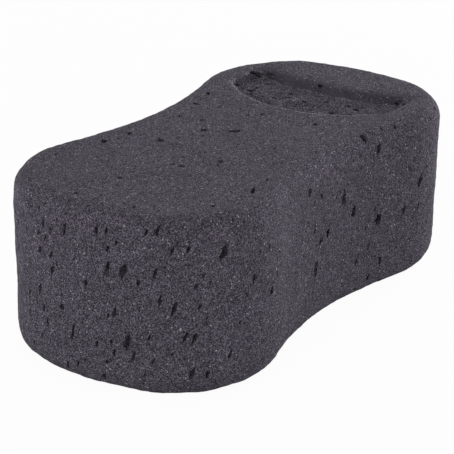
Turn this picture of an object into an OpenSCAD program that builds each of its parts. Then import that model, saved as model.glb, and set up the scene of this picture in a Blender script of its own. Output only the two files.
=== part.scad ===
// Cleaning sponge of soft open-pored foam, moulded in one piece.
// Seen from above it is waisted like a figure of eight, so that a hand grips it at the
// middle, and a shallow bean-shaped dish on top of one lobe takes the fingertips.
// Millimetres. +X runs along the sponge toward the dished lobe and +Z is up.
// The origin is the middle of the flat underside.

/* [Body] */
// Overall length from end to end
body_length = 200; // [180:1:240]
// Width across the lobes
lobe_width = 101; // [98:1:120]
// Depth of the hollow on each side of the waist, where the hand grips
waist_hollow = 8.5; // [4:0.5:16]
// Thickness from the underside to the top
body_height = 68; // [50:1:90]

/* [Rounding] */
// Plan radius of the blunt arc that closes each end
end_radius = 86; // [74:1:120]
// Plan radius of the corners between the ends and the long sides
corner_radius = 40; // [36:1:46]
// Radius of the soft edge around the top
top_edge_radius = 7; // [4:1:12]
// Radius of the soft edge around the underside
base_edge_radius = 10; // [4:1:16]

/* [Finger dish] */
// Distance from the dished end of the sponge to the middle of the dish's hollow side
dish_setback = 32.5; // [28:0.5:36]
// Border left between each end of the dish and the side of the lobe
dish_border = 15; // [13:0.5:20]
// Width of the dish along the sponge, at the middle
dish_width = 36.5; // [34:0.5:40]
// Depth of the dish floor below the top
dish_depth = 4.5; // [3:0.5:8]
// Plan radius of the hollow side of the dish, which faces the end
dish_back_radius = 95; // [80:5:300]
// Plan radius of the two tight corners beside the hollow side
dish_corner_radius = 5; // [5:0.5:8]
// Length of the straight stretch at each end of the dish
dish_side_length = 13; // [8:1:16]
// Plan radius of the two wide corners toward the waist
dish_shoulder_radius = 12; // [8:0.5:14]
// Run of the sloping dish wall, measured along the top
dish_wall_run = 0.5; // [0.5:0.5:1]
// Radius of the soft lip where the dish wall turns into the top
dish_lip_radius = 1; // [0.5:0.5:1.5]
// Radius of the hollow where the dish wall turns into its floor
dish_floor_radius = 1; // [0.5:0.5:1.5]

/* [Pores] */
// Spacing of the open pores around the walls
wall_pore_pitch = 15; // [13:1:30]
// Spacing of the rows of pores up the walls
wall_row_pitch = 10; // [9:1:20]
// Spacing of the open pores on the flat faces
face_pore_pitch = 17; // [15:1:30]
// Length of the largest pores along the rise of the foam
pore_length = 8; // [4:0.5:10]
// Width of the largest pores
pore_width = 3.2; // [1.6:0.2:4]
// Lean of the pores away from upright, toward the dished end
pore_lean = 12; // [0:1:20]
// Number that picks one scatter of the pores
pore_scatter = 11; // [1:1:99]

/* [Hidden] */

FOAM_COLOR = [0.30, 0.28, 0.31];

// Facets along the arcs of the plan and around the soft edges
END_STEPS = 4;
CORNER_STEPS = 11;
SHOULDER_STEPS = 3;
WAIST_STEPS = 6;
EDGE_STEPS = 4;
DISH_BACK_STEPS = 5;
DISH_CORNER_STEPS = 5;
DISH_SHOULDER_STEPS = 4;
DISH_FRONT_STEPS = 7;
DISH_EDGE_STEPS = 3;

// Plan of the body: an end arc, a corner arc and a hollow waist arc in each quarter,
// each tangent to the next. The corner arc is drawn in two runs that meet where it is widest
half_length = body_length / 2;
half_width = lobe_width / 2;
half_waist = half_width - waist_hollow;
CORNER_SHARE = 0.9;
corner = min(corner_radius, CORNER_SHARE * half_width);
end_x = half_length - end_radius;
corner_y = half_width - corner;
corner_x = end_x + sqrt(pow(end_radius - corner, 2) - pow(corner_y, 2));
waist_rise = corner - waist_hollow;
waist_radius = (pow(corner_x, 2) + pow(waist_rise, 2) - pow(corner, 2)) / (2 * waist_hollow);
waist_y = half_waist + waist_radius;
end_sweep = atan2(corner_y, corner_x - end_x);
corner_stop = atan2(waist_y - corner_y, -corner_x);

// Plan of the dish: a hollow arc at the back, two tight corners, a straight stretch at each
// end, two wide shoulders and a round front arc, each tangent to the next
dish_back_x = half_length - dish_setback;
dish_front_x = dish_back_x - dish_width;
dish_half_span = half_width - dish_border;
dish_back_centre = dish_back_x + dish_back_radius;
dish_corner_y = dish_half_span - dish_corner_radius;
dish_corner_x = dish_back_centre
    - sqrt(pow(dish_back_radius + dish_corner_radius, 2) - pow(dish_corner_y, 2));
dish_back_sweep = atan2(dish_corner_y, dish_back_centre - dish_corner_x);
dish_shoulder_x = dish_corner_x - dish_side_length;
dish_shoulder_y = dish_half_span - dish_shoulder_radius;
dish_reach = dish_shoulder_x - dish_front_x;
dish_front_radius = (pow(dish_reach, 2) + pow(dish_shoulder_y, 2) - pow(dish_shoulder_radius, 2))
    / (2 * (dish_reach - dish_shoulder_radius));
dish_front_centre = dish_front_x + dish_front_radius;
dish_shoulder_stop = atan2(dish_shoulder_y, dish_shoulder_x - dish_front_centre);

// Section of the dish: a soft lip, a sloping wall and a hollow into the flat floor
LARGEST_SHARE = 0.45;
lip = min(dish_lip_radius, LARGEST_SHARE * dish_depth);
hollow = min(dish_floor_radius, LARGEST_SHARE * dish_depth);
dish_floor_inset = lip + dish_wall_run + hollow;
dish_floor_z = body_height - dish_depth;
CUT_CLEARANCE = 2;

// Each arc is [centre x, centre y, radius, first angle, last angle, steps, side], where
// side is 1 for a bulging arc and -1 for a hollow one. They run from the +X axis to the -X
// axis over one half of the plan
QUARTER_ARCS = [
    [end_x, 0, end_radius, 0, end_sweep, END_STEPS, 1],
    [corner_x, corner_y, corner, end_sweep, 90, CORNER_STEPS, 1],
    [corner_x, corner_y, corner, 90, corner_stop, SHOULDER_STEPS, 1],
    [0, waist_y, waist_radius, corner_stop + 180, 270, WAIST_STEPS, -1]
];
BODY_ARCS = concat(QUARTER_ARCS, [for (arc = reversed(QUARTER_ARCS)) mirrored_arc(arc)]);
DISH_ARCS = [
    [dish_back_centre, 0, dish_back_radius, 180, 180 - dish_back_sweep, DISH_BACK_STEPS, -1],
    [dish_corner_x, dish_corner_y, dish_corner_radius, -dish_back_sweep, 90, DISH_CORNER_STEPS, 1],
    straight_from(dish_corner_x, dish_corner_y, dish_corner_radius, 90),
    [dish_shoulder_x, dish_shoulder_y, dish_shoulder_radius, 90, dish_shoulder_stop,
        DISH_SHOULDER_STEPS, 1],
    [dish_front_centre, 0, dish_front_radius, dish_shoulder_stop, 180, DISH_FRONT_STEPS, 1]
];

// An arc of no sweep: the outline runs straight from its one point to the next arc
function straight_from(x, y, radius, angle) = [x, y, radius, angle, angle, 1, 1];

// The same arc across the Y axis, walked the other way
function mirrored_arc(arc) =
    [-arc[0], arc[1], arc[2], 180 - arc[4], 180 - arc[3], arc[5], arc[6]];

// A point on an arc at an angle, moved inward from the edge by the inset
function arc_point(arc, angle, inset) =
    let (reach = arc[2] - arc[6] * inset)
    [arc[0] + reach * cos(angle), arc[1] + reach * sin(angle)];

function arc_angle(arc, share) = arc[3] + (arc[4] - arc[3]) * share;

// The whole plan, anticlockwise from the +X axis: the arcs and then their mirror image
function plan_ring(arcs, inset) =
    let (
        side = [for (arc = arcs) for (i = [0:arc[5] - 1])
            arc_point(arc, arc_angle(arc, i / arc[5]), inset)],
        tip = arc_point(arcs[len(arcs) - 1], arcs[len(arcs) - 1][4], inset)
    )
    concat(side, [[tip[0], 0]], [for (i = [len(side) - 1:-1:1]) [side[i][0], -side[i][1]]]);

function reversed(list) = [for (i = [len(list) - 1:-1:0]) list[i]];

// The face that closes a ring, whole or in strips between points that lie opposite each other
function cap_faces(count, first, in_strips) =
    !in_strips ? [[for (i = [0:count - 1]) first + i]]
    : concat(
        [[first, first + 1, first + count - 1]],
        [for (i = [1:count / 2 - 2])
            [first + i, first + i + 1, first + count - i - 1, first + count - i]],
        [[first + count / 2 - 1, first + count / 2, first + count / 2 + 1]]
    );

// A solid with the same plan at each level [inset, height], lowest first
module loft(arcs, levels, in_strips) {
    rings = [for (level = levels) plan_ring(arcs, level[0])];
    count = len(rings[0]);
    last = len(levels) - 1;
    polyhedron(
        points = [for (k = [0:last]) for (p = rings[k]) [p[0], p[1], levels[k][1]]],
        faces = concat(
            cap_faces(count, 0, in_strips),
            [for (k = [0:last - 1]) for (i = [0:count - 1])
                let (j = (i + 1) % count, low = k * count, high = low + count)
                [high + i, high + j, low + j, low + i]],
            [for (face = cap_faces(count, last * count, in_strips)) reversed(face)]
        )
    );
}

// Levels of the body from the underside up, and of the dish cut from its floor up
body_levels = concat(
    [for (i = [0:EDGE_STEPS]) let (a = 90 * i / EDGE_STEPS)
        [base_edge_radius * (1 - sin(a)), base_edge_radius * (1 - cos(a))]],
    [for (i = [0:EDGE_STEPS]) let (a = 90 * i / EDGE_STEPS)
        [top_edge_radius * (1 - cos(a)), body_height - top_edge_radius * (1 - sin(a))]]
);
dish_levels = concat(
    [for (i = [0:DISH_EDGE_STEPS]) let (a = 90 * i / DISH_EDGE_STEPS)
        [dish_floor_inset - hollow * sin(a), dish_floor_z + hollow * (1 - cos(a))]],
    [for (i = [0:DISH_EDGE_STEPS]) let (a = 90 * i / DISH_EDGE_STEPS)
        [lip * cos(a), body_height - lip * (1 - sin(a))]],
    [[0, body_height + CUT_CLEARANCE]]
);

// Places round the wall. A station is the distance from the middle of the plain end,
// anticlockwise
function arc_run(arc) = arc[2] * abs(arc[4] - arc[3]) * PI / 180;
function runs_before(arcs, k) = k == 0 ? 0 : arc_run(arcs[k - 1]) + runs_before(arcs, k - 1);
half_perimeter = runs_before(BODY_ARCS, len(BODY_ARCS));

// The place [x, y, normal x, normal y] at a run along the arcs, from the k-th on
function place_at(run, k) =
    let (arc = BODY_ARCS[k], length = arc_run(arc))
    run > length && k < len(BODY_ARCS) - 1 ? place_at(run - length, k + 1)
    : let (a = arc_angle(arc, run / length), p = arc_point(arc, a, 0))
        [p[0], p[1], arc[6] * cos(a), arc[6] * sin(a)];

function wall_place(station) =
    let (p = place_at(half_perimeter - abs(station), 0), side = station > 0 ? -1 : 1)
    [p[0], side * p[1], p[2], side * p[3]];

// How far the soft edges draw the wall in at a height
function edge_inset(radius, reach) =
    reach >= radius ? 0 : radius - sqrt(pow(radius, 2) - pow(radius - reach, 2));
function wall_inset(z) = edge_inset(top_edge_radius, body_height - z) + edge_inset(base_edge_radius, z);

// One open pore: a leaning spindle with five uneven sides. Across and deep are the half
// sizes of its section, along the surface and into the foam
PORE_SIDES = 5;
PORE_BELLY = 0.42;
PORE_UNEVEN = [0.75, 1.2];
module pore(centre, inward, size, across, deep, seed) {
    rise = [sin(pore_lean), 0, cos(pore_lean)];
    sideways = [inward[1], -inward[0], 0];
    uneven = rands(PORE_UNEVEN[0], PORE_UNEVEN[1], 2 * PORE_SIDES, seed);
    belly = [for (k = [0, 1]) for (i = [0:PORE_SIDES - 1])
        let (a = 360 * i / PORE_SIDES, w = uneven[k * PORE_SIDES + i])
        centre + rise * size * PORE_BELLY * (k - 0.5)
            + sideways * across * w * cos(a) + inward * deep * w * sin(a)];
    low_tip = 2 * PORE_SIDES;
    sides = [for (i = [0:PORE_SIDES - 1]) [i, (i + 1) % PORE_SIDES]];
    polyhedron(
        points = concat(belly, [centre - rise * size / 2, centre + rise * size / 2]),
        faces = concat(
            [for (s = sides) [low_tip, s[0], s[1]]],
            [for (s = sides) [s[0], PORE_SIDES + s[0], s[1]]],
            [for (s = sides) [s[1], PORE_SIDES + s[0], PORE_SIDES + s[1]]],
            [for (s = sides) [low_tip + 1, PORE_SIDES + s[1], PORE_SIDES + s[0]]]
        )
    );
}

// A pore that opens in the wall at a station and a height
WALL_PORE_SINK = 0.1;
WALL_PORE_DEPTH = 0.8;
module wall_pore(station, z, size, width, seed) {
    p = wall_place(station);
    inward = [-p[2], -p[3], 0];
    centre = [p[0], p[1], z] + inward * (wall_inset(z) + WALL_PORE_SINK * width);
    pore(centre, inward, size, width / 2, width * WALL_PORE_DEPTH, seed);
}

// Pores round the wall in jittered rows. One draw decides presence and size, so that most
// pores are small and a few are large
PRESENT_SHARE = 0.8;
JITTER = 0.4;
SMALLEST_PORE = 0.4;
function pore_share(draw) = SMALLEST_PORE + (1 - SMALLEST_PORE) * pow(draw / PRESENT_SHARE, 3);
module wall_pores() {
    columns = floor(2 * half_perimeter / wall_pore_pitch);
    rows = floor(body_height / wall_row_pitch);
    count = columns * rows;
    along = rands(-JITTER, JITTER, count, pore_scatter);
    up = rands(-JITTER, JITTER, count, pore_scatter + 1);
    draw = rands(0, 1, count, pore_scatter + 2);
    for (k = [0:count - 1]) if (draw[k] < PRESENT_SHARE) {
        station = ((k % columns + 0.5 + along[k]) / columns * 2 - 1) * half_perimeter;
        z = (floor(k / columns) + 0.5 + up[k]) * body_height / rows;
        share = pore_share(draw[k]);
        if (!is_taken(station, z))
            wall_pore(station, z, pore_length * share, pore_width * share, pore_scatter + k);
    }
}

// The largest pores of the plain end and of the waist, each [station, height, size against
// the largest]
LARGE_PORES = [
    [-26, 29, 0.6], [-18, 47, 0.6], [-12, 42, 0.7], [-8, 30, 0.8], [-5, 60, 0.7], [12, 55, 1],
    [18, 48, 1.1], [15, 34, 0.7], [20, 20, 1.4], [30, 62, 0.8], [29, 50, 0.9], [31, 40, 0.8],
    [36, 36, 1], [39, 26, 0.8], [42, 12, 0.8], [53, 56, 1.1], [66, 42, 0.6], [121, 25, 0.6],
    [130, 38, 0.7], [142, 46, 1.2], [148, 39, 0.9], [163, 33, 0.8], [166, 15, 0.9]
];
// Distance kept free around a large pore
LARGE_PORE_CLEARANCE = 7;
function is_taken(station, z) =
    len([for (m = LARGE_PORES) if (norm([station - m[0], z - m[1]]) < LARGE_PORE_CLEARANCE) m]) > 0;
module large_pores() {
    for (m = LARGE_PORES)
        wall_pore(m[0], m[1], pore_length * m[2], pore_width * m[2], pore_scatter + m[1]);
}

// Half the width of the plan at a distance from the middle
waist_end_x = corner_x + corner * cos(corner_stop);
corner_end_x = corner_x + corner * cos(end_sweep);
function plan_half_width(x) =
    x < waist_end_x ? waist_y - sqrt(pow(waist_radius, 2) - pow(x, 2))
    : x < corner_end_x ? corner_y + sqrt(pow(corner, 2) - pow(x - corner_x, 2))
    : sqrt(max(0, pow(end_radius, 2) - pow(x - end_x, 2)));

// Whether a place on top lies within the dish, moved inward from its rim
function in_dish(x, y, inset) =
    norm([x - dish_back_centre, y]) > dish_back_radius + inset
    && norm([x - dish_front_centre, y]) < dish_front_radius - inset
    && abs(y) < dish_half_span - inset;

// Pores in a flat face. Up is 1 for the top, which holds the dish, and -1 for the underside
FACE_PRESENT_SHARE = 0.6;
FACE_PORE_SINK = 0.15;
FACE_PORE_SIZE = 0.8;
module face_pores(up, scatter) {
    columns = floor(body_length / face_pore_pitch);
    rows = floor(lobe_width / face_pore_pitch);
    count = columns * rows;
    along = rands(-JITTER, JITTER, count, scatter);
    across = rands(-JITTER, JITTER, count, scatter + 1);
    draw = rands(0, 1, count, scatter + 2);
    edge = up > 0 ? top_edge_radius : base_edge_radius;
    for (k = [0:count - 1]) if (draw[k] < FACE_PRESENT_SHARE) {
        x = ((k % columns + 0.5 + along[k]) / columns - 0.5) * body_length;
        y = ((floor(k / columns) + 0.5 + across[k]) / rows - 0.5) * lobe_width;
        share = FACE_PORE_SIZE * pore_share(draw[k] / FACE_PRESENT_SHARE * PRESENT_SHARE);
        floored = up > 0 && in_dish(x, y, dish_floor_inset + pore_width);
        rim = up > 0 && !floored && in_dish(x, y, -pore_width);
        face_z = up < 0 ? 0 : floored ? dish_floor_z : body_height;
        if (!rim && abs(x) < half_length - edge && abs(y) < plan_half_width(abs(x)) - edge)
            pore([x, y, face_z - up * FACE_PORE_SINK * pore_length * share], [1, 0, 0],
                pore_length * share, pore_width * share / 2, pore_width * share / 2, scatter + k);
    }
}

module sponge_body() {
    color(FOAM_COLOR)
    difference() {
        loft(BODY_ARCS, body_levels, true);
        loft(DISH_ARCS, dish_levels, false);
        wall_pores();
        large_pores();
        face_pores(1, pore_scatter + 300);
        face_pores(-1, pore_scatter + 600);
    }
}

sponge_body();
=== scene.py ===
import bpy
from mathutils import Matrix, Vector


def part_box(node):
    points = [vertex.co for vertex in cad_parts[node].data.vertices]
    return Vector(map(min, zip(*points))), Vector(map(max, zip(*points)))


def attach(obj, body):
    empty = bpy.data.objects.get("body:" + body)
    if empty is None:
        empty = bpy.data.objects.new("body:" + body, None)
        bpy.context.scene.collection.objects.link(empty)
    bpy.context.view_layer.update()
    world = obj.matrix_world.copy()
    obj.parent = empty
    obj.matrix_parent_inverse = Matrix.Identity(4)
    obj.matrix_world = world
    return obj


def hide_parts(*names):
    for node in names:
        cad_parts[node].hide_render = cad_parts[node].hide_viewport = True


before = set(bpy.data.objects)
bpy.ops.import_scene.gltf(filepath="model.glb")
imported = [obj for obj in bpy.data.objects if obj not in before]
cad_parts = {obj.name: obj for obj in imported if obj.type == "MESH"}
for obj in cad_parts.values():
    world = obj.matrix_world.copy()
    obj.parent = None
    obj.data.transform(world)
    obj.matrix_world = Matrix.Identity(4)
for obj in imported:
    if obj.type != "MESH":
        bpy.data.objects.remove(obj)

"""Dresses a waisted cleaning sponge of dark open-pored foam.

The sponge is one block of foam. It is traced in plan with tangent arcs, raised, softened along its
edges, hollowed with a bean-shaped dish, roughened, and then opened with pores: the ones that the
photograph shows, and finer and hidden ones scattered by a rule. All lengths are in metres.
"""

import logging
import math
import random
from dataclasses import dataclass, field
from enum import Enum
from typing import Callable, NamedTuple

import bmesh
import bpy
from mathutils import Matrix, Vector, noise
from mathutils.bvhtree import BVHTree

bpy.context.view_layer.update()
LOG = logging.getLogger("sponge")
MM = 0.001
BODY_NODE = "sponge_body"
DEPTH_LAYER = "pore_depth"
Color = tuple[float, float, float]
Span = tuple[float, float]
Value = float | tuple[float, ...] | bpy.types.NodeSocket
UP = Vector((0.0, 0.0, 1.0))
SLIVER = 0.01 * MM
CLEANING_ROUNDS = 2
LEAST_STEPS = 2
MERGE_PART = 10


class PoreDetail(Enum):
    """How finely a pore is divided, by its size."""

    LARGE = 3
    SMALL = 2
    FINE = 1


class Arc(NamedTuple):
    """One arc of a plan: its centre and the signed angle that it sweeps, in radians."""

    x: float
    y: float
    sweep: float


class Straight(NamedTuple):
    """One straight run of a plan."""

    x: float
    y: float


class PhotoPore(NamedTuple):
    """One pore that the photograph shows, in the photograph's pixels."""

    x: float
    y: float
    tall: float
    wide: float


class PoreKind(NamedTuple):
    """Pores scattered by a rule: how many, how far apart, and their smallest and largest half width."""

    number: int
    gap: float
    smallest: float
    largest: float


class Relief(NamedTuple):
    """One layer of the skin's unevenness: how far it stands out, and how long its swells are."""

    height: float
    span: float

    def at(self, place: Vector) -> float:
        """How far the layer stands out at a place."""
        return self.height * noise.noise(place / self.span)


class Spot(NamedTuple):
    """A place for a pore on the surface: its point, its normal and its three half sizes."""

    point: Vector
    normal: Vector
    along: Vector
    half_long: float
    half_wide: float
    depth: float


def deselect_all() -> None:
    """Clears the selection."""
    for thing in bpy.context.selected_objects:
        thing.select_set(False)


def make_active(piece: bpy.types.Object) -> None:
    """Selects one object alone and makes it the active one.

    Args:
        piece: The object to select.
    """
    deselect_all()
    piece.select_set(True)
    bpy.context.view_layer.objects.active = piece


def apply_modifier(piece: bpy.types.Object, kind: str, **settings: object) -> None:
    """Adds a modifier to an object and applies it.

    Args:
        piece: The object that takes the modifier.
        kind: The modifier's type, as Blender names it.
        settings: The modifier's settings by name.
    """
    make_active(piece)
    modifier = piece.modifiers.new(kind.lower(), kind)
    for name, value in settings.items():
        setattr(modifier, name, value)
    bpy.ops.object.modifier_apply(modifier=modifier.name)


def select_edges(piece: bpy.types.Object, wanted: Callable[[bmesh.types.BMEdge], bool]) -> int:
    """Selects the edges of the piece in edit mode that a test picks.

    Args:
        piece: The object, in edit mode.
        wanted: Takes a BMEdge and says whether it is selected.

    Returns:
        How many edges are selected.
    """
    mesh = bmesh.from_edit_mesh(piece.data)
    for part in (*mesh.faces, *mesh.edges, *mesh.verts):
        part.select = False
    count = 0
    for edge in mesh.edges:
        if wanted(edge):
            edge.select_set(True)
            count += 1
    bmesh.update_edit_mesh(piece.data)
    return count


def clean_skin(piece: bpy.types.Object) -> None:
    """Divides a cut skin into triangles and takes away its slivers.

    Args:
        piece: The cut object.
    """
    make_active(piece)
    bpy.ops.object.mode_set(mode="EDIT")
    for _ in range(CLEANING_ROUNDS):
        bpy.ops.mesh.select_all(action="SELECT")
        bpy.ops.mesh.quads_convert_to_tris(quad_method="BEAUTY", ngon_method="BEAUTY")
        bpy.ops.mesh.dissolve_degenerate(threshold=SLIVER)
    bpy.ops.mesh.select_all(action="SELECT")
    bpy.ops.mesh.quads_convert_to_tris(quad_method="BEAUTY", ngon_method="BEAUTY")
    bpy.ops.mesh.delete_loose()
    bpy.ops.mesh.select_all(action="DESELECT")
    mesh = bmesh.from_edit_mesh(piece.data)
    for face in mesh.faces:
        face.select_set(all(edge.is_boundary for edge in face.edges))
    bmesh.update_edit_mesh(piece.data)
    bpy.ops.mesh.delete(type="FACE")
    bpy.ops.object.mode_set(mode="OBJECT")


def trace_prism(name: str, start: tuple[float, float], runs: list[Arc | Straight], low: float,
                high: float, step: float) -> bpy.types.Object:
    """Spins a point round the arcs of a plan, closes it and raises it into a prism.

    Args:
        name: The new object's name.
        start: Where the outline starts, in X and Y.
        runs: The arcs and straight runs in their order, anticlockwise round the plan.
        low: Height of the prism's floor.
        high: Height of the prism's top.
        step: Length of an edge along the outline.

    Returns:
        The prism, in object mode.
    """
    deselect_all()
    bpy.ops.mesh.primitive_plane_add(size=step, location=(start[0], start[1], low))
    piece = bpy.context.active_object
    piece.name = name
    bpy.ops.object.transform_apply(location=True, rotation=True, scale=True)
    bpy.ops.object.mode_set(mode="EDIT")
    bpy.ops.mesh.merge(type="CENTER")
    point = Vector(start)
    for run in runs:
        if isinstance(run, Straight):
            bpy.ops.mesh.extrude_region_move(TRANSFORM_OT_translate={"value": (run.x, run.y, 0.0)})
            point += Vector(run)
            continue
        centre = Vector((run.x, run.y))
        reach = (point - centre).length
        steps = max(LEAST_STEPS, round(reach * abs(run.sweep) / step))
        bpy.ops.mesh.spin(steps=steps, angle=-run.sweep, center=(run.x, run.y, low), axis=tuple(UP))
        point = centre + Matrix.Rotation(run.sweep, 2) @ (point - centre)
    bpy.ops.mesh.select_all(action="SELECT")
    bpy.ops.mesh.remove_doubles(threshold=step / MERGE_PART)
    bpy.ops.mesh.edge_face_add()
    bpy.ops.mesh.extrude_region_move(TRANSFORM_OT_translate={"value": (0.0, 0.0, high - low)})
    bpy.ops.mesh.select_all(action="SELECT")
    bpy.ops.mesh.normals_make_consistent(inside=False)
    bpy.ops.object.mode_set(mode="OBJECT")
    return piece


def is_level(edge: bmesh.types.BMEdge, height: float) -> bool:
    """Whether both ends of an edge lie at a height."""
    return all(abs(vertex.co.z - height) < SLIVER for vertex in edge.verts)


@dataclass
class PhotoCamera:
    """The camera that took the photograph, found from the sponge's outline."""

    side_px: float = 454.0
    azimuth: float = -57.69
    elevation: float = 21.63
    roll: float = 1.14
    distance: float = 0.7452
    focal_px: float = 1929.9
    offset_x_px: float = 10.57
    offset_y_px: float = -14.52
    sensor: float = 36.0
    clip: Span = (0.01, 20.0)
    target: Vector = field(default_factory=lambda: Vector((0.0, 0.0, 0.034)))

    def axes(self) -> tuple[Vector, Vector, Vector]:
        """The camera's axes.

        Returns:
            The directions right, up and back.
        """
        a, e, r = (math.radians(x) for x in (self.azimuth, self.elevation, self.roll))
        back = Vector((math.sin(a) * math.cos(e), -math.cos(a) * math.cos(e), math.sin(e)))
        level = Vector((math.cos(a), math.sin(a), 0.0))
        upright = back.cross(level)
        right = level * math.cos(r) + upright * math.sin(r)
        up = upright * math.cos(r) - level * math.sin(r)
        return right, up, back

    def place(self) -> Vector:
        """Where the camera stands."""
        return self.target + self.axes()[2] * self.distance

    def ray(self, x: float, y: float) -> Vector:
        """The direction from the camera through a pixel of the photograph.

        Args:
            x: Pixel across, from the left.
            y: Pixel down, from the top.

        Returns:
            The direction, one metre deep along the view.
        """
        right, up, back = self.axes()
        across = (x - self.side_px / 2 - self.offset_x_px) / self.focal_px
        rise = -(y - self.side_px / 2 - self.offset_y_px) / self.focal_px
        return right * across + up * rise - back

    def build(self) -> bpy.types.Object:
        """Makes the scene's camera.

        Returns:
            The camera object.
        """
        lens = bpy.data.cameras.new("camera")
        lens.sensor_width = self.sensor
        lens.lens = self.focal_px * self.sensor / self.side_px
        lens.shift_x = -self.offset_x_px / self.side_px
        lens.shift_y = self.offset_y_px / self.side_px
        lens.clip_start, lens.clip_end = self.clip
        camera = bpy.data.objects.new("camera", lens)
        bpy.context.scene.collection.objects.link(camera)
        right, up, back = self.axes()
        turn = Matrix((right, up, back)).transposed()
        camera.matrix_world = Matrix.Translation(self.place()) @ turn.to_4x4()
        bpy.context.scene.camera = camera
        return camera


@dataclass(frozen=True)
class DishPlan:
    """The dish seen from above: a hollow back, two corners, two straight ends and a round front."""

    back_x: float
    back_centre: float
    back_radius: float
    corner_x: float
    corner_y: float
    shoulder_x: float
    shoulder_y: float
    front_centre: float
    front_radius: float
    half_span: float
    blend: float = 4 * MM

    def behind(self, point: Vector) -> float:
        """How far a place lies past the hollow back, toward the sponge's end."""
        return self.back_radius - math.hypot(point.x - self.back_centre, point.y)

    def before(self, point: Vector) -> float:
        """How far a place lies past the round front, toward the waist."""
        return math.hypot(point.x - self.front_centre, point.y) - self.front_radius

    def beside(self, point: Vector) -> float:
        """How far a place lies past the straight ends."""
        return abs(point.y) - self.half_span

    def gap(self, point: Vector) -> float:
        """How far a place lies outside the rim; less than nothing within."""
        return max(self.behind(point), self.before(point), self.beside(point))

    def holds(self, point: Vector, inset: float) -> bool:
        """Whether a place lies within the rim, moved inward by an inset."""
        return self.gap(point) < -inset

    def nearness(self, point: Vector) -> float:
        """From 0 along the back and the ends of the dish to 1 along its round front."""
        others = max(self.behind(point), self.beside(point))
        return min(1.0, max(0.0, (self.before(point) - others) / self.blend))

    def runs(self) -> list[Arc | Straight]:
        """The outline, anticlockwise from the middle of the hollow back.

        Returns:
            Arcs and straight runs.
        """
        back = math.atan2(self.corner_y, self.back_centre - self.corner_x)
        shoulder = math.atan2(self.shoulder_y, self.shoulder_x - self.front_centre) - math.pi / 2
        side = self.corner_x - self.shoulder_x
        return [
            Arc(self.back_centre, 0, -back), Arc(self.corner_x, self.corner_y, math.pi / 2 + back),
            Straight(-side, 0), Arc(self.shoulder_x, self.shoulder_y, shoulder),
            Arc(self.front_centre, 0, math.pi - 2 * shoulder),
            Arc(self.shoulder_x, -self.shoulder_y, shoulder), Straight(side, 0),
            Arc(self.corner_x, -self.corner_y, math.pi / 2 + back), Arc(self.back_centre, 0, -back),
        ]


@dataclass(frozen=True)
class Wiring:
    """Adds nodes to one node tree and joins them."""

    tree: bpy.types.NodeTree

    def add(self, kind: str, inputs: dict[str | int, Value] | None = None,
            **settings: object) -> bpy.types.Node:
        """Adds a node.

        Args:
            kind: The node's type, as Blender names it.
            inputs: What each input takes: a socket, which is joined, or a constant.
            settings: The node's other settings by name.

        Returns:
            The node.
        """
        node = self.tree.nodes.new(kind)
        for name, setting in settings.items():
            setattr(node, name, setting)
        for name, value in (inputs or {}).items():
            if isinstance(value, bpy.types.NodeSocket):
                self.tree.links.new(value, node.inputs[name])
            else:
                node.inputs[name].default_value = value
        return node

    def math(self, operation: str, first: Value, second: Value = 0.0,
             clamp: bool = False) -> bpy.types.NodeSocket:
        """Adds one step of arithmetic.

        Args:
            operation: What is done, as Blender names it.
            first: The first value.
            second: The second value, where the operation takes two.
            clamp: Whether the result is held between 0 and 1.

        Returns:
            The result.
        """
        node = self.add("ShaderNodeMath", {0: first, 1: second}, operation=operation, use_clamp=clamp)
        return node.outputs[0]

    def spread(self, value: Value, span: Span, to_span: Span = (0.0, 1.0),
               smooth: bool = False) -> bpy.types.NodeSocket:
        """Maps a value from one span to another, held at its ends.

        Args:
            value: The value.
            span: Where the value starts and ends.
            to_span: What the start and the end become.
            smooth: Whether the change eases in and out.

        Returns:
            The mapped value.
        """
        ends = {"Value": value, "From Min": span[0], "From Max": span[1],
                "To Min": to_span[0], "To Max": to_span[1]}
        kind = "SMOOTHSTEP" if smooth else "LINEAR"
        return self.add("ShaderNodeMapRange", ends, interpolation_type=kind).outputs["Result"]

    def noise(self, place: bpy.types.NodeSocket, scale: float,
              detail: float = 2.0) -> bpy.types.NodeSocket:
        """Adds a noise about 0.5.

        Args:
            place: Where it is read.
            scale: Its repeats per metre.
            detail: How many finer layers it has.

        Returns:
            The noise's value.
        """
        inputs = {"Vector": place, "Scale": scale, "Detail": detail}
        return self.add("ShaderNodeTexNoise", inputs).outputs["Fac"]

    def mix(self, blend: str, factor: Value, first: Value, second: Value) -> bpy.types.NodeSocket:
        """Mixes two colours.

        Args:
            blend: How they are mixed, as Blender names it.
            factor: The second one's share.
            first: A colour, as a socket or a constant.
            second: A colour, as a socket or a constant.

        Returns:
            The mixed colour.
        """
        pair = [(*color, 1.0) if isinstance(color, tuple) else color for color in (first, second)]
        inputs = {"Factor": factor, "A": pair[0], "B": pair[1]}
        return self.add("ShaderNodeMix", inputs, data_type="RGBA", blend_type=blend).outputs["Result"]

    def seen_directly(self) -> bpy.types.NodeSocket:
        """Gives 1 for a ray from the camera or a reflection, and 0 for any other."""
        path = self.add("ShaderNodeLightPath")
        return self.math("MAXIMUM", path.outputs["Is Camera Ray"], path.outputs["Is Glossy Ray"])


def new_group(name: str, inputs: dict[str, str], outputs: dict[str, str]) -> bpy.types.NodeTree:
    """Makes an empty shader node group.

    Args:
        name: Its name.
        inputs: The kind of each input by its name.
        outputs: The kind of each output by its name.

    Returns:
        The group.
    """
    group = bpy.data.node_groups.new(name, "ShaderNodeTree")
    for way, sockets in (("INPUT", inputs), ("OUTPUT", outputs)):
        for socket, kind in sockets.items():
            group.interface.new_socket(socket, in_out=way, socket_type=f"NodeSocket{kind}")
    return group


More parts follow.
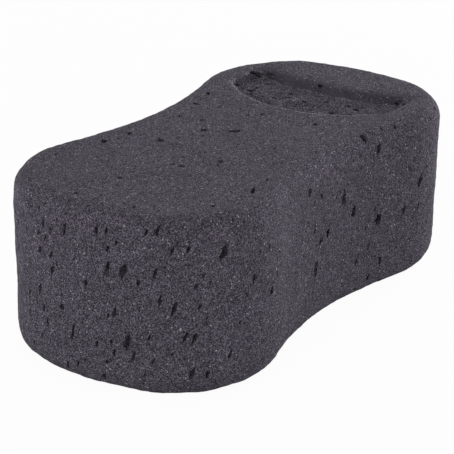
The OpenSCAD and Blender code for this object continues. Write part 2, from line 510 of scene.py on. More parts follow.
@dataclass(frozen=True)
class CellGrain:
    """The grain of foam: cells with pale struts, a finer grit, broad patches, and a mask of painted glints.
    """

    cell: float = 0.6 * MM
    strut_span: Span = (0.1, 0.65)
    strut_shade: Span = (0.25, 1.6)
    grit_scale: float = 2200.0
    grit_detail: float = 1.0
    grit_span: Span = (0.35, 0.65)
    grit_shade: Span = (0.4, 1.6)
    noise_span: Span = (0.3, 0.7)
    patch_scale: float = 60.0
    patch_detail: float = 3.0
    patch_shade: Span = (0.94, 1.06)
    blotch_scale: float = 500.0
    blotch_shade: Span = (0.8, 1.2)
    glint_scale: float = 1100.0
    glint_span: Span = (0.4, 0.2)
    glint_pick: Span = (0.88, 1.0)

    def group(self) -> bpy.types.NodeTree:
        """Builds the grain's shader group.

        Returns:
            The group, which puts out a shade, a mask of painted glints and a height.
        """
        tree = new_group("foam_cell_grain", {"Place": "Vector", "Cells per metre": "Float"},
                         {"Shade": "Color", "Glints": "Float", "Height": "Float"})
        wiring = Wiring(tree)
        start = wiring.add("NodeGroupInput").outputs
        place = start["Place"]
        cells = wiring.add("ShaderNodeTexVoronoi", {"Vector": place, "Scale": start["Cells per metre"]})
        struts = wiring.spread(cells.outputs["Distance"], self.strut_span)
        grit = wiring.noise(place, self.grit_scale, self.grit_detail)
        grain = wiring.math("MULTIPLY", wiring.spread(struts, (0.0, 1.0), self.strut_shade),
                            wiring.spread(grit, self.grit_span, self.grit_shade))
        patches = wiring.spread(wiring.noise(place, self.patch_scale, self.patch_detail),
                                self.noise_span, self.patch_shade)
        blotches = wiring.spread(wiring.noise(place, self.blotch_scale), self.noise_span, self.blotch_shade)
        # painted glints: small bright dots stand in for light caught by cell facets
        points = wiring.add("ShaderNodeTexVoronoi", {"Vector": place, "Scale": self.glint_scale})
        pick = wiring.add("ShaderNodeSeparateColor", {"Color": points.outputs["Color"]})
        glints = wiring.math("MULTIPLY", wiring.spread(points.outputs["Distance"], self.glint_span),
                             wiring.spread(pick.outputs["Red"], self.glint_pick))
        wiring.add("NodeGroupOutput", {
            "Shade": wiring.math("MULTIPLY", grain, wiring.math("MULTIPLY", patches, blotches)),
            "Glints": glints,
            "Height": wiring.math("ADD", struts, grit),
        })
        return tree


@dataclass(frozen=True)
class RimHighlightAndPressedWall:
    """A painted highlight along the dish's near rim and along the foot of its far wall, and the far wall,
    which is pressed smooth.
    """

    width: float = 1.5 * MM
    wobble_scale: float = 420.0
    wobble: float = 2.6
    break_scale: float = 170.0
    break_span: Span = (0.3, 0.52)
    line_middle: float = 0.2
    line_span: Span = (1.0, 0.4)
    below_top: Span = (1.6 * MM, 0.8 * MM)
    foot_middle: float = 1.9
    foot_span: Span = (0.5, 0.2)
    foot_below: Span = (2.4 * MM, 3.2 * MM)
    foot_share: float = 0.7
    wall_middle: float = 0.4 * MM
    wall_span: Span = (3.0 * MM, 1.6 * MM)
    wall_side: float = 1.0 * MM
    wall_start: float = 4 * MM
    wall_share: float = 0.6

    def group(self, plan: DishPlan, height: float) -> bpy.types.NodeTree:
        """Builds the shader group that masks the painted highlight along the dish's rim and the pressed far
        wall.

        Args:
            plan: The dish's plan.
            height: The height of the sponge's top.

        Returns:
            The group, which puts out the two masks.
        """
        tree = new_group("rim_highlight_and_pressed_wall", {"Place": "Vector"}, {"Mask": "Float", "Pressed": "Float"})
        wiring = Wiring(tree)
        calc = wiring.math
        place = wiring.add("NodeGroupInput").outputs["Place"]
        x, y, z = wiring.add("ShaderNodeSeparateXYZ", {0: place}).outputs

        def reach(centre: float) -> bpy.types.NodeSocket:
            """The distance from a centre on the sponge's length."""
            along = calc("SUBTRACT", x, centre)
            return calc("SQRT", calc("ADD", calc("MULTIPLY", along, along), calc("MULTIPLY", y, y)))

        def faded(value: Value, start: float, end: float) -> bpy.types.NodeSocket:
            """Rises smoothly from 0 at the start to 1 at the end."""
            return wiring.spread(value, (start, end), smooth=True)

        width = self.width
        ragged = calc("MULTIPLY", calc("SUBTRACT", wiring.noise(place, self.wobble_scale), 0.5),
                      self.wobble * width)
        front = calc("SUBTRACT", reach(plan.front_centre), plan.front_radius)
        side = calc("SUBTRACT", calc("ABSOLUTE", y), plan.half_span)
        gap = calc("ADD", calc("MAXIMUM", front, side), ragged)
        # painted highlight: a pale line along the near rim stands in for light caught by the edge
        line = faded(calc("ABSOLUTE", calc("SUBTRACT", gap, self.line_middle * width)),
                     self.line_span[0] * width, self.line_span[1] * width)
        near = calc("MULTIPLY", faded(x, plan.corner_x, plan.shoulder_x),
                    faded(wiring.noise(place, self.break_scale), *self.break_span))
        top = faded(z, height - self.below_top[0], height - self.below_top[1])
        cut = calc("MULTIPLY", calc("MULTIPLY", line, near), top)

        # painted highlight: a pale line along the foot of the far wall stands in for light caught by the
        # floor's edge
        back = reach(plan.back_centre)
        foot = calc("ADD", calc("SUBTRACT", plan.back_radius + self.foot_middle * width, back), ragged)
        floor_edge_highlight = calc("MULTIPLY", faded(calc("ABSOLUTE", foot), self.foot_span[0] * width,
                                            self.foot_span[1] * width),
                          faded(z, height - self.foot_below[0], height - self.foot_below[1]))

        from_wall = calc("ABSOLUTE", calc("SUBTRACT", plan.back_radius + self.wall_middle, back))
        wall = calc("MULTIPLY", faded(from_wall, *self.wall_span), faded(side, 0.0, -self.wall_side))
        wall = calc("MULTIPLY", wall, faded(x, plan.corner_x - self.wall_start, plan.corner_x))
        wiring.add("NodeGroupOutput", {
            "Mask": calc("ADD", cut, calc("MULTIPLY", floor_edge_highlight, self.foot_share)),
            "Pressed": calc("MULTIPLY", wall, self.wall_share),
        })
        return tree


@dataclass(frozen=True)
class FoamFinish:
    """Dark matte foam: a fine grain of cells, faint mottling, painted glints, painted shade deep in the
    pores, and a painted highlight along the dish's rim.
    """

    name: str = "foam"
    base: Color = (0.079, 0.071, 0.090)
    # painted shade: the colour the pores take with depth, darker than the foam, stands in for the shade
    # inside them
    pore_shade: Color = (0.049, 0.045, 0.055)
    # painted glint colour: bright dots that stand in for light caught by cell facets
    glint: Color = (0.50, 0.48, 0.51)
    # painted highlight colour for the dish's rim lines
    rim_highlight: Color = (0.126, 0.115, 0.143)
    plain: Color = (1.0, 1.0, 1.0)
    roughness: float = 1.0
    specular: float = 0.08
    grain_height: float = 0.22 * MM
    grain: CellGrain = CellGrain()
    rim: RimHighlightAndPressedWall = RimHighlightAndPressedWall()

    def build(self, plan: DishPlan, height: float) -> bpy.types.Material:
        """Makes the foam's material.

        Args:
            plan: The dish's plan, along whose near rim and far floor edge a paler line is painted as a
                highlight.
            height: The height of the sponge's top.

        Returns:
            The material.
        """
        material = bpy.data.materials.new(self.name)
        material.use_nodes = True
        material.node_tree.nodes.clear()
        wiring = Wiring(material.node_tree)
        place = wiring.add("ShaderNodeTexCoord").outputs["Object"]
        depth = wiring.add("ShaderNodeAttribute", attribute_name=DEPTH_LAYER).outputs["Fac"]
        grain = wiring.add("ShaderNodeGroup", {"Place": place, "Cells per metre": 1.0 / self.grain.cell},
                           node_tree=self.grain.group()).outputs
        rim = wiring.add("ShaderNodeGroup", {"Place": place},
                         node_tree=self.rim.group(plan, height)).outputs

        # painted highlight: the rim lines are made paler in colour
        skin = wiring.mix("MIX", rim["Mask"], self.base, self.rim_highlight)
        # painted shade: the colour darkens toward the pore shade with depth under the skin
        pore_shaded = wiring.mix("MIX", depth, skin, self.pore_shade)
        shade = wiring.mix("MIX", rim["Pressed"], grain["Shade"], self.plain)
        grained = wiring.mix("MULTIPLY", 1.0, pore_shaded, shade)
        open_glints = wiring.math("SUBTRACT", grain["Glints"], depth, clamp=True)
        bump = wiring.add("ShaderNodeBump", {"Strength": 1.0, "Distance": self.grain_height,
                                             "Height": grain["Height"]})
        shader = wiring.add("ShaderNodeBsdfPrincipled", {
            # painted glints are laid over the colour, except inside the pores
            "Base Color": wiring.mix("MIX", open_glints, grained, self.glint),
            "Roughness": self.roughness,
            "Specular IOR Level": self.specular,
            "Normal": bump.outputs["Normal"],
        })
        wiring.add("ShaderNodeOutputMaterial", {"Surface": shader.outputs["BSDF"]})
        return material


@dataclass
class PoreScatter:
    """Where pores open: the photograph's own, and finer and hidden ones by a rule."""

    lean_along: float = math.radians(15.0)
    lean_across: float = math.radians(12.0)
    fine: PoreKind = PoreKind(620, 3.2 * MM, 0.4 * MM, 0.9 * MM)
    hidden: PoreKind = PoreKind(330, 8.0 * MM, 0.8 * MM, 1.9 * MM)
    torn: PoreKind = PoreKind(55, 3.4 * MM, 0.5 * MM, 1.0 * MM)
    turned_away: float = 0.02  # a hidden face meets the view at no more than this cosine
    level: float = 0.7  # the normal of a level face rises by more than this
    dish_depths: float = 1.5  # how many dish depths below the top the dish's skin ends
    torn_inset: float = 1.5 * MM
    rim_gap: float = 2 * MM
    large_half: float = 1.1 * MM
    tries: int = 12  # for each pore that is wanted
    smallness: int = 3  # the higher, the more of the pores are small
    stretch: Span = (0.3, 1.5)  # on an upright face: the least, and what chance adds at most
    least_rise: float = 0.25  # less than this, and a face is too level to follow the rise
    sunk: float = 1.3
    seed: int = 5

    def rise(self) -> Vector:
        """The direction in which the foam rose, along which its pores are drawn out."""
        return Vector((math.tan(self.lean_along), -math.tan(self.lean_across), 1.0)).normalized()


def photo_pores(*places: tuple[float, float, float, float]) -> tuple[PhotoPore, ...]:
    """Names the numbers of pores in the photograph: across, down, height and width in its pixels."""
    return tuple(PhotoPore(*place) for place in places)


# Pores that stand out in the photograph
NEAR_END_PORES = photo_pores(
    (43, 223, 12, 4), (64, 228, 12, 4), (96, 230, 7, 6), (106, 231, 7, 4), (146, 233, 7, 3),
    (157, 231, 13, 6), (116, 243, 4, 4), (107, 249, 7, 5), (172, 251, 7, 5), (188, 250, 7, 5),
    (224, 253, 16, 8), (51, 255, 6, 4), (40, 250, 7, 4), (52, 270, 10, 4), (107, 269, 16, 6),
    (123, 271, 15, 8), (155, 274, 11, 5), (86, 282, 7, 4), (138, 283, 8, 5), (40, 288, 11, 3),
    (30, 293, 12, 2), (160, 301, 11, 5), (174, 309, 14, 6), (115, 312, 14, 6), (108, 315, 6, 3),
    (44, 308, 8, 3), (62, 306, 6, 5), (48, 323, 9, 3), (73, 331, 14, 3), (127, 342, 15, 7),
    (97, 344, 6, 5), (111, 342, 6, 4), (114, 353, 7, 4), (133, 358, 12, 4), (185, 338, 12, 4),
    (195, 338, 11, 6), (149, 338, 7, 3), (192, 374, 11, 6), (208, 374, 9, 5), (104, 377, 7, 6),
    (68, 365, 8, 3), (78, 363, 6, 3), (230, 355, 11, 4),
)
LONG_SIDE_PORES = photo_pores(
    (253, 191, 5, 4), (310, 192, 9, 3), (322, 196, 5, 3), (344, 200, 17, 4), (354, 212, 10, 4),
    (378, 219, 12, 5), (404, 210, 10, 3), (420, 181, 12, 4), (418, 206, 8, 2), (328, 232, 9, 4),
    (321, 241, 9, 3), (315, 230, 8, 2), (316, 269, 15, 3), (380, 260, 9, 3), (368, 277, 6, 3),
    (255, 278, 12, 3), (272, 291, 8, 3), (364, 138, 7, 6), (379, 149, 10, 4),
)
TOP_PORES = photo_pores(
    (182, 166, 3, 7), (161, 140, 4, 8), (204, 130, 3, 8), (236, 131, 3, 15), (220, 161, 3, 6),
    (208, 93, 3, 4), (262, 114, 3, 4), (130, 133, 3, 5), (104, 141, 4, 7), (284, 98, 4, 7),
    (183, 157, 2, 3), (120, 178, 3, 5), (267, 180, 3, 4), (251, 91, 3, 6), (196, 104, 3, 5),
    (203, 120, 2, 6), (134, 207, 3, 4), (213, 206, 3, 5), (76, 193, 3, 5), (101, 195, 2, 4),
    (320, 86, 4, 5), (315, 124, 3, 4), (219, 107, 2, 4), (180, 116, 2, 5), (248, 115, 2, 4),
)
DISH_PORES = photo_pores(
    (253, 73, 3, 7), (258, 76, 2, 7), (237, 85, 2, 5), (257, 88, 2, 6), (269, 84, 2, 8),
    (280, 93, 2, 8), (275, 98, 2, 5), (291, 94, 2, 6), (294, 88, 2, 5), (304, 101, 2, 5),
    (326, 102, 2, 5), (319, 107, 2, 4), (347, 107, 2, 6), (355, 110, 2, 8), (397, 104, 2, 6),
    (271, 105, 2, 3),
)
OUTLINE_PORES = photo_pores(
    (305, 321, 3, 5), (355, 289, 3, 5), (379, 280, 2, 4), (407, 268, 2, 5), (43, 355, 2, 4),
    (82, 373, 2, 4), (232, 381, 2, 4),
)


@dataclass(frozen=True)
class SeenPores:
    """The pores that the photograph shows on one face, and how they are stretched and sunk there."""

    pores: tuple[PhotoPore, ...]
    drawn: float = 1.0
    widened: float = 1.0
    sunk: float = 1.3


SEEN_PORES = (
    SeenPores(NEAR_END_PORES, drawn=1.08, widened=0.86, sunk=0.85),
    SeenPores(LONG_SIDE_PORES, drawn=1.2, widened=1.1, sunk=2.0),
    SeenPores(TOP_PORES, drawn=0.95, widened=1.15),
    SeenPores(DISH_PORES),
    SeenPores(OUTLINE_PORES),
)


@dataclass(frozen=True)
class TornFloor:
    """The floor of the dish: slightly full, torn in streaks across its length, and pitted."""

    crown: float = 0.9 * MM
    streak_wide: float = 3 * MM
    streak_long: float = 9 * MM
    streak_height: float = 1.5 * MM
    streak_level: float = 0.25
    pit_span: float = 2.2 * MM
    pit_depth: float = 1.3 * MM
    pit_level: float = 0.2

    def at(self, place: Vector) -> float:
        """How far the floor stands out at a place.

        Args:
            place: A point of the floor.

        Returns:
            The height over a plain floor.
        """
        streak = noise.noise(Vector((place.x / self.streak_wide, place.y / self.streak_long, 0.0)))
        pit = noise.noise(place / self.pit_span + UP)
        return (self.crown + self.streak_height * (self.streak_level - abs(streak))
                - self.pit_depth * max(0.0, pit - self.pit_level))


@dataclass
class SpongeBody:
    """The block of foam."""

    waist_hollow: float = 8.5 * MM
    end_radius: float = 86 * MM
    corner_radius: float = 40 * MM
    top_edge: float = 7 * MM
    base_edge: float = 10 * MM
    dish_setback: float = 32.5 * MM
    dish_border: float = 15 * MM
    dish_width: float = 36.5 * MM
    dish_depth: float = 4.5 * MM
    far_lip: float = 6 * MM
    lip_sink: float = 0.7 * MM
    groove: float = 1.0 * MM
    groove_width: float = 1.8 * MM
    rim_bead: float = 0.35 * MM
    rim_bead_width: float = 1.6 * MM
    rim_edge: float = 0.5 * MM
    dish_back_radius: float = 95 * MM
    dish_corner: float = 5 * MM
    dish_side: float = 13 * MM
    dish_shoulder: float = 12 * MM
    dish_draft: float = 0.5 * MM
    dish_lip: float = 1 * MM
    dish_hollow: float = 1 * MM
    outline_step: float = 2.5 * MM
    voxel: float = 1.25 * MM
    kept_share: float = 0.62
    edge_segments: int = 8
    dish_segments: int = 3
    wall_level: float = 0.6
    easing: float = 0.5
    lip_rounds: int = 6
    swell: Relief = Relief(0.55 * MM, 38 * MM)
    dent: Relief = Relief(0.28 * MM, 11 * MM)
    tooth: Relief = Relief(0.2 * MM, 2.6 * MM)
    floor_tooth: float = 2.0
    wall_tooth: float = 0.3
    torn_floor: TornFloor = TornFloor()
    depth_span: Span = (0.2 * MM, 2.2 * MM)
    crease: float = math.radians(50)
    scatter: PoreScatter = field(default_factory=PoreScatter)
    finish: FoamFinish = field(default_factory=FoamFinish)

    def __post_init__(self) -> None:
        """Takes the overall size from the frame, and finds how far down the dish reaches."""
        low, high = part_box(BODY_NODE)
        self.half_length = (high.x - low.x) / 2
        self.half_width = (high.y - low.y) / 2
        self.height = high.z - low.z
        self.dish_zone = self.height - 2 * self.dish_depth

    def plan_arcs(self) -> list[Arc]:
        """The arcs of the sponge's plan.

        Returns:
            The arcs, anticlockwise from the middle of the dished end.
        """
        end_x = self.half_length - self.end_radius
        corner_y = self.half_width - self.corner_radius
        corner_x = end_x + math.sqrt((self.end_radius - self.corner_radius) ** 2 - corner_y ** 2)
        rise = self.corner_radius - self.waist_hollow
        waist_radius = (corner_x ** 2 + rise ** 2 - self.corner_radius ** 2) / (2 * self.waist_hollow)
        waist_y = self.half_width - self.waist_hollow + waist_radius
        end = math.atan2(corner_y, corner_x - end_x)
        shoulder = math.atan2(waist_y - corner_y, -corner_x)
        corner = shoulder - end
        waist = -2 * (shoulder - math.pi / 2)
        return [
            Arc(end_x, 0, end), Arc(corner_x, corner_y, corner), Arc(0, waist_y, waist),
            Arc(-corner_x, corner_y, corner), Arc(-end_x, 0, 2 * end), Arc(-corner_x, -corner_y, corner),
            Arc(0, -waist_y, waist), Arc(corner_x, -corner_y, corner), Arc(end_x, 0, end),
        ]

    def dish_plan(self) -> DishPlan:
        """Works out the centres of the dish's arcs.

        Returns:
            The dish's plan.
        """
        back_x = self.half_length - self.dish_setback
        half_span = self.half_width - self.dish_border
        back_centre = back_x + self.dish_back_radius
        corner_y = half_span - self.dish_corner
        corner_x = back_centre - math.sqrt((self.dish_back_radius + self.dish_corner) ** 2 - corner_y ** 2)
        shoulder_x = corner_x - self.dish_side
        shoulder_y = half_span - self.dish_shoulder
        front_x = back_x - self.dish_width
        reach = shoulder_x - front_x
        front_radius = ((reach ** 2 + shoulder_y ** 2 - self.dish_shoulder ** 2)
                        / (2 * (reach - self.dish_shoulder)))
        return DishPlan(back_x, back_centre, self.dish_back_radius, corner_x, corner_y, shoulder_x,
                        shoulder_y, front_x + front_radius, front_radius, half_span)

    def raise_block(self) -> bpy.types.Object:
        """Raises the plan into a block and rounds its long edges.

        Returns:
            The block.
        """
        block = trace_prism("foam_block", (self.half_length, 0.0), self.plan_arcs(), 0.0, self.height,
                            self.outline_step)
        make_active(block)
        bpy.ops.object.mode_set(mode="EDIT")
        for height, radius in ((self.height, self.top_edge), (0.0, self.base_edge)):
            select_edges(block, lambda e, z=height: is_level(e, z))
            bpy.ops.mesh.bevel(offset=radius, segments=self.edge_segments, affect="EDGES",
                               clamp_overlap=False)
        bpy.ops.object.mode_set(mode="OBJECT")
        return block

    def cut_dish(self, block: bpy.types.Object) -> None:
        """Sinks the bean-shaped dish into the top of the block and softens its rim.

        Args:
            block: The block.
        """
        plan = self.dish_plan()
        floor = self.height - self.dish_depth
        cutter = trace_prism("dish_cutter", (plan.back_x, 0.0), plan.runs(), floor,
                             self.height + self.dish_depth, self.outline_step / 2)
        make_active(cutter)
        bpy.ops.object.mode_set(mode="EDIT")
        select_edges(cutter, lambda e: is_level(e, floor))
        across, along = plan.half_span, self.dish_width / 2
        middle = (plan.back_x - along, 0.0, floor)
        bpy.ops.transform.resize(value=(1 - self.dish_draft / along, 1 - self.dish_draft / across, 1),
                                 center_override=middle)
        bpy.ops.mesh.bevel(offset=self.dish_hollow, segments=self.dish_segments, affect="EDGES",
                           clamp_overlap=False)
        bpy.ops.object.mode_set(mode="OBJECT")
        apply_modifier(block, "BOOLEAN", object=cutter, operation="DIFFERENCE", solver="EXACT")
        bpy.data.objects.remove(cutter)
        make_active(block)
        bpy.ops.object.mode_set(mode="EDIT")
        select_edges(block, lambda e: is_level(e, self.height) and len(e.link_faces) == 2
                     and min(abs(f.normal.z) for f in e.link_faces) < self.wall_level
                     and plan.holds((e.verts[0].co + e.verts[1].co) / 2, -self.dish_lip))
        bpy.ops.mesh.bevel(offset=self.dish_lip, segments=self.dish_segments, affect="EDGES",
                           clamp_overlap=False)
        bpy.ops.object.mode_set(mode="OBJECT")

    def roughen(self, block: bpy.types.Object) -> None:
        """Gives the block an even skin and the gentle unevenness of moulded foam.

        Args:
            block: The block.
        """
        apply_modifier(block, "REMESH", mode="VOXEL", voxel_size=self.voxel)
        apply_modifier(block, "SMOOTH", factor=self.easing, iterations=1)
        plan = self.dish_plan()
        self.refine_dish(block, plan)
        mesh = block.data
        normals = [v.normal.copy() for v in mesh.vertices]
        for vertex, normal in zip(mesh.vertices, normals):
            place = vertex.co
            swell, dent, tooth = self.swell.at(place), self.dent.at(place), self.tooth.at(place)
            gap = plan.gap(place)
            if place.z > self.dish_zone and gap < self.far_lip:
                dent += self.dish_relief(plan, place, gap)
                tooth *= self.floor_tooth if gap < -self.groove_width else self.wall_tooth
            vertex.co = place + normal * (swell + dent + tooth)
            vertex.co.z = max(0.0, vertex.co.z)
        mesh.update()
        apply_modifier(block, "DECIMATE", ratio=self.kept_share)

    def refine_dish(self, block: bpy.types.Object, plan: DishPlan) -> None:
        """Divides the skin of the dish once more, and eases the lip of its far wall.

        Args:
            block: The block.
            plan: The dish's plan.
        """
        make_active(block)
        bpy.ops.object.mode_set(mode="EDIT")
        select_edges(block, lambda e: all(
            v.co.z > self.dish_zone and plan.gap(v.co) < self.far_lip / 3 for v in e.verts))
        bpy.ops.mesh.subdivide(number_cuts=1)
        bpy.ops.object.mode_set(mode="OBJECT")
        lip = block.vertex_groups.new(name="far_lip")
        lip.add([v.index for v in block.data.vertices
                 if v.co.z > self.height - self.dish_depth / 2 and v.co.x > plan.shoulder_x
                 and abs(plan.gap(v.co)) < self.far_lip / 2], 1.0, "REPLACE")
        apply_modifier(block, "SMOOTH", factor=self.easing, iterations=self.lip_rounds,
                       vertex_group=lip.name)

    def dish_relief(self, plan: DishPlan, place: Vector, gap: float) -> float:
        """How far the skin stands out in and about the dish.

        Args:
            plan: The dish's plan.
            place: A point of the skin.
            gap: How far it lies outside the rim.

        Returns:
            A bead along the near rim, a sunk lip elsewhere, a groove at the foot of the wall and a
            torn, slightly full floor.
        """
        if gap > -self.rim_edge:
            near = plan.nearness(place)
            slope = max(0.0, 1 - max(0.0, gap) / self.far_lip) ** 2
            bead = near * self.rim_bead * math.exp(-(gap / self.rim_bead_width) ** 2)
            return bead - (1 - near) * self.lip_sink * slope
        if place.z > self.height - self.dish_depth / 2:
            return 0.0
        if gap > -self.groove_width:
            return -self.groove * math.sin(math.pi * gap / -self.groove_width)
        return self.torn_floor.at(place)

    def build(self, camera: PhotoCamera) -> bpy.types.Object:
        """Builds the dressed sponge.

        Args:
            camera: The photograph's camera, which places the pores that it shows.

        Returns:
            The finished piece.
        """
        block = self.raise_block()
        self.cut_dish(block)
        self.roughen(block)
        skin = BVHTree.FromObject(block, bpy.context.evaluated_depsgraph_get())
        PoreCutter(self, camera, skin).carve(block)
        clean_skin(block)
        self.mark_depth(block, skin)
        bpy.ops.object.shade_smooth_by_angle(angle=self.crease)
        block.data.materials.clear()
        block.data.materials.append(self.finish.build(self.dish_plan(), self.height))
        block.name = "sponge"
        block.data.name = "sponge"
        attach(block, "root")
        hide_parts(BODY_NODE)
        return block

    def mark_depth(self, block: bpy.types.Object, skin: BVHTree) -> None:
        """Stores how deep each point lies under the skin, from 0 at the skin to 1 in the pores.

        Args:
            block: The carved block.
            skin: The surface before carving.
        """
        start, full = self.depth_span
        # this depth drives the painted shade in the pores
        layer = block.data.attributes.new(DEPTH_LAYER, "FLOAT", "POINT")
        for vertex in block.data.vertices:
            gap = skin.find_nearest(vertex.co)[3]
            layer.data[vertex.index].value = min(1.0, max(0.0, gap - start) / (full - start))


@dataclass
class PoreCutter:
    """Carves pores into a block of foam."""

    body: SpongeBody
    camera: PhotoCamera
    skin: BVHTree
    least_tilt: float = 0.3  # keeps a pore on a slanting face from growing too large
    least_depth: float = 1.6 * MM
    fullness: float = 0.95
    bulge: float = 0.6
    bulge_scale: float = 1.6
    tear: float = 0.5
    tear_scale: float = 4.5
    shift: float = 50.0

    def __post_init__(self) -> None:
        """Starts the random draws, which a seed fixes."""
        self.scatter = self.body.scatter
        self.draw = random.Random(self.scatter.seed)
        self.rise = self.scatter.rise()

    def photo_spots(self) -> list[Spot]:
        """Places the photograph's own pores on the surface.

        Returns:
            A spot for each pore whose pixel meets the sponge.
        """
        right, up, back = self.camera.axes()
        eye = self.camera.place()
        spots = []
        for face, pore in ((face, pore) for face in SEEN_PORES for pore in face.pores):
            ray = self.camera.ray(pore.x, pore.y)
            point, normal, *_ = self.skin.ray_cast(eye, ray.normalized())
            if point is None:
                continue
            per_pixel = -(point - eye).dot(back) / self.camera.focal_px
            guide = self.rise if abs(normal.z) < self.scatter.level else up
            along = (guide - normal * guide.dot(normal)).normalized()
            across = along.cross(normal)
            tall = pore.tall * per_pixel / max(self.least_tilt, abs(along.dot(up)))
            wide = pore.wide * per_pixel / max(self.least_tilt, abs(across.dot(right)))
            depth = max(self.least_depth, face.sunk * min(tall, wide))
            half_long, half_wide = face.drawn * tall / 2, face.widened * wide / 2
            spots.append(Spot(point, normal, along, half_long, half_wide, depth))
        return spots

    def scattered(self, block: bpy.types.Object, kind: PoreKind, taken: list[Vector],
                  allowed: Callable[[Vector, Vector], bool]) -> list[Spot]:
        """Scatters pores over the surface by a rule.

        Args:
            block: The block.
            kind: How many pores at most, their spacing and their sizes.
            taken: Points that are kept free.
            allowed: Takes a point and its normal, and says whether a pore may open there.

        Returns:
            The spots.
        """
        faces = block.data.polygons
        spots: list[Spot] = []
        grid: dict[tuple[int, int, int], list[Vector]] = {}

        def cell_of(point: Vector) -> tuple[int, int, int]:
            """The grid cell that holds a point."""
            return tuple(math.floor(c / kind.gap) for c in point)

        def is_free(point: Vector) -> bool:
            """Whether no pore lies within the gap.

            Args:
                point: Where a pore would open.

            Returns:
                True where the place is free.
            """
            x, y, z = cell_of(point)
            around = ((x + i, y + j, z + k) for i in (-1, 0, 1) for j in (-1, 0, 1) for k in (-1, 0, 1))
            return all((point - other).length > kind.gap for c in around for other in grid.get(c, ()))

        for point in taken:
            grid.setdefault(cell_of(point), []).append(point)
        for _ in range(self.scatter.tries * kind.number):
            if len(spots) >= kind.number:
                break
            face = faces[self.draw.randrange(len(faces))]
            point, normal = face.center.copy(), face.normal.copy()
            if not allowed(point, normal) or not is_free(point):
                continue
            grid.setdefault(cell_of(point), []).append(point)
            share = self.draw.random() ** self.scatter.smallness
            half = kind.smallest + (kind.largest - kind.smallest) * share
            least, more = self.scatter.stretch
            stretch = 1.0 + (1.0 - abs(normal.z)) * (least + more * self.draw.random())
            along = self.rise - normal * self.rise.dot(normal)
            if along.length <= self.scatter.least_rise:
                along = Vector((0, 1, 0)).cross(normal)
            sunk = self.scatter.sunk * half
            spots.append(Spot(point, normal, along.normalized(), half * stretch, half, sunk))
        return spots

    def cutter(self, name: str, spots: list[Spot], detail: PoreDetail) -> bpy.types.Object:
        """Models one pore and copies it to every spot.

        Args:
            name: The cutter's name.
            spots: Where the pores go.
            detail: How finely the pore is divided.

        Returns:
            One object that holds all the pores.
        """
        deselect_all()
        bpy.ops.mesh.primitive_ico_sphere_add(subdivisions=detail.value, radius=1.0)
        pore = bpy.context.active_object
        shape = [v.co.copy() for v in pore.data.vertices]
        sides = [tuple(f.vertices) for f in pore.data.polygons]
        bpy.data.objects.remove(pore)
        points, faces = [], []
        for spot in spots:
            across = spot.along.cross(spot.normal)
            turn = Matrix.Rotation(self.draw.uniform(0, 2 * math.pi), 3, UP)
            offset = Vector((self.draw.uniform(-self.shift, self.shift), 0, 0))
            base = len(points)
            for corner in shape:
                c = turn @ corner
                bulge = self.bulge * noise.noise(c * self.bulge_scale + offset)
                tear = self.tear * noise.noise(c * self.tear_scale + offset)
                ragged = self.fullness + bulge + tear
                upright = math.sqrt(abs(c.z)) if c.z > 0 else -abs(c.z)
                points.append(spot.point + ragged * (
                    across * c.x * spot.half_wide + spot.along * c.y * spot.half_long)
                    + spot.normal * (upright * spot.depth))
            faces.extend(tuple(base + i for i in f) for f in sides)
        mesh = bpy.data.meshes.new(name)
        mesh.from_pydata(points, [], faces)
        cutter = bpy.data.objects.new(name, mesh)
        bpy.context.scene.collection.objects.link(cutter)
        return cutter

    def carve(self, block: bpy.types.Object) -> None:
        """Cuts all the pores.

        Args:
            block: The block.
        """
        scatter = self.scatter
        plan = self.body.dish_plan()
        floor = self.body.height - scatter.dish_depths * self.body.dish_depth
        eye = self.camera.place()
        shown = self.photo_spots()
        points = [s.point for s in shown]
        hidden = self.scattered(block, scatter.hidden, points,
                                lambda p, n: n.dot(eye - p) < scatter.turned_away * (eye - p).length)
        torn = self.scattered(block, scatter.torn, points,
                              lambda p, n: p.z > floor and n.z > scatter.level
                              and plan.holds(p, scatter.torn_inset))
        points += [s.point for s in hidden + torn]
        fine = self.scattered(block, scatter.fine, points,
                              lambda p, n: p.z < floor or abs(plan.gap(p)) > scatter.rim_gap) + torn
        large = [s for s in shown + hidden if s.half_wide > scatter.large_half]
        small = [s for s in shown + hidden if s.half_wide <= scatter.large_half]
        for detail, spots in zip(PoreDetail, (large, small, fine)):
            name = detail.name.lower()
            cutter = self.cutter(f"{name}_pores", spots, detail)
            apply_modifier(block, "BOOLEAN", object=cutter, operation="DIFFERENCE", solver="MANIFOLD")
            bpy.data.objects.remove(cutter)
            LOG.info("%s pores: %d, triangles now %d", name, len(spots),
                     sum(len(f.vertices) - 2 for f in block.data.polygons))


class Softbox(NamedTuple):
    """A soft lamp: how far it stands to the right, in front and above, in metres, and its watts."""

    name: str
    right: float
    front: float
    above: float
    power: float


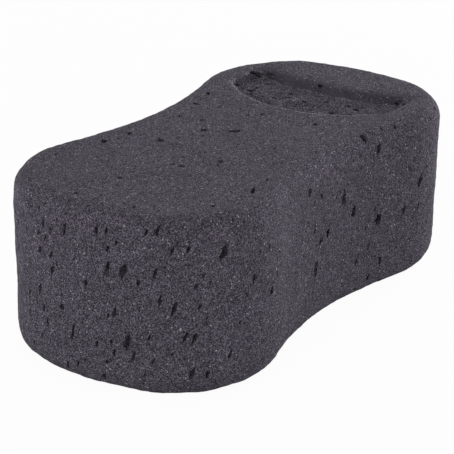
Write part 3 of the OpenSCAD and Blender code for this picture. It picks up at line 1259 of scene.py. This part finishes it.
@dataclass
class Studio:
    """A pale floor, four soft lamps and a pale surround."""

    floor_size: float = 6.0
    floor_color: Color = (0.8, 0.8, 0.8)
    floor_glow: float = 0.96
    surround_color: Color = (0.8, 0.8, 0.8)
    surround: float = 0.53
    lamp_size: float = 0.9
    softboxes: tuple[Softbox, ...] = (
        Softbox("left_softbox", -1.3, -0.3, 0.15, 10.2),
        Softbox("left_fill", -0.7, 1.1, 0.6, 3.4),
        Softbox("right_softbox", 0.9, -1.1, 0.3, 19.8),
        Softbox("right_fill", 0.95, 0.95, 0.1, 4.4),
    )

    def floor(self) -> bpy.types.Object:
        """Makes the floor, which shows almost white and keeps a faint shadow.

        Returns:
            The floor.
        """
        deselect_all()
        bpy.ops.mesh.primitive_plane_add(size=self.floor_size)
        floor = bpy.context.active_object
        floor.name = "floor"
        material = bpy.data.materials.new("pale_floor")
        material.use_nodes = True
        material.node_tree.nodes.clear()
        wiring = Wiring(material.node_tree)
        matte = wiring.add("ShaderNodeBsdfDiffuse", {"Color": (*self.floor_color, 1.0)})
        glow = wiring.add("ShaderNodeEmission")
        share = wiring.math("MULTIPLY", wiring.seen_directly(), self.floor_glow)
        mix = wiring.add("ShaderNodeMixShader", {0: share, 1: matte.outputs[0], 2: glow.outputs[0]})
        wiring.add("ShaderNodeOutputMaterial", {"Surface": mix.outputs[0]})
        floor.data.materials.append(material)
        return floor

    def lamp(self, softbox: Softbox, place: Vector) -> None:
        """Makes a square soft lamp that faces the sponge.

        Args:
            softbox: The lamp's name and power.
            place: Where it stands.
        """
        light = bpy.data.lights.new(softbox.name, "AREA")
        light.size, light.energy = self.lamp_size, softbox.power
        lamp = bpy.data.objects.new(softbox.name, light)
        bpy.context.scene.collection.objects.link(lamp)
        lamp.location = place
        lamp.rotation_euler = (-place).to_track_quat("-Z", "Y").to_euler()

    def world(self) -> None:
        """Makes the surround, which shows pale and lights the sponge more softly than it shows."""
        world = bpy.data.worlds.new("surround")
        bpy.context.scene.world = world
        world.use_nodes = True
        world.node_tree.nodes.clear()
        wiring = Wiring(world.node_tree)
        color = (*self.surround_color, 1.0)
        light = wiring.add("ShaderNodeBackground", {"Color": color, "Strength": self.surround})
        shown = wiring.add("ShaderNodeBackground", {"Color": color})
        mix = wiring.add("ShaderNodeMixShader", {0: wiring.seen_directly(), 1: light.outputs[0],
                                                 2: shown.outputs[0]})
        wiring.add("ShaderNodeOutputWorld", {"Surface": mix.outputs[0]})

    def build(self, camera: PhotoCamera) -> None:
        """Sets the studio up round the camera's direction.

        Args:
            camera: The photograph's camera.
        """
        bpy.context.scene.view_settings.view_transform = "Standard"
        self.floor()
        self.world()
        right, _, back = camera.axes()
        front = Vector((back.x, back.y, 0)).normalized()
        side = Vector((right.x, right.y, 0)).normalized()
        for softbox in self.softboxes:
            self.lamp(softbox, side * softbox.right + front * softbox.front + UP * softbox.above)
        LOG.info("studio: %d softboxes", len(self.softboxes))


def main() -> None:
    """Builds the sponge and its studio."""
    logging.basicConfig(level=logging.INFO, format="%(name)s: %(message)s")
    camera = PhotoCamera()
    camera.build()
    body = SpongeBody()
    sponge = body.build(camera)
    LOG.info("sponge: %d faces", len(sponge.data.polygons))
    Studio().build(camera)


if __name__ == "__main__":
    main()
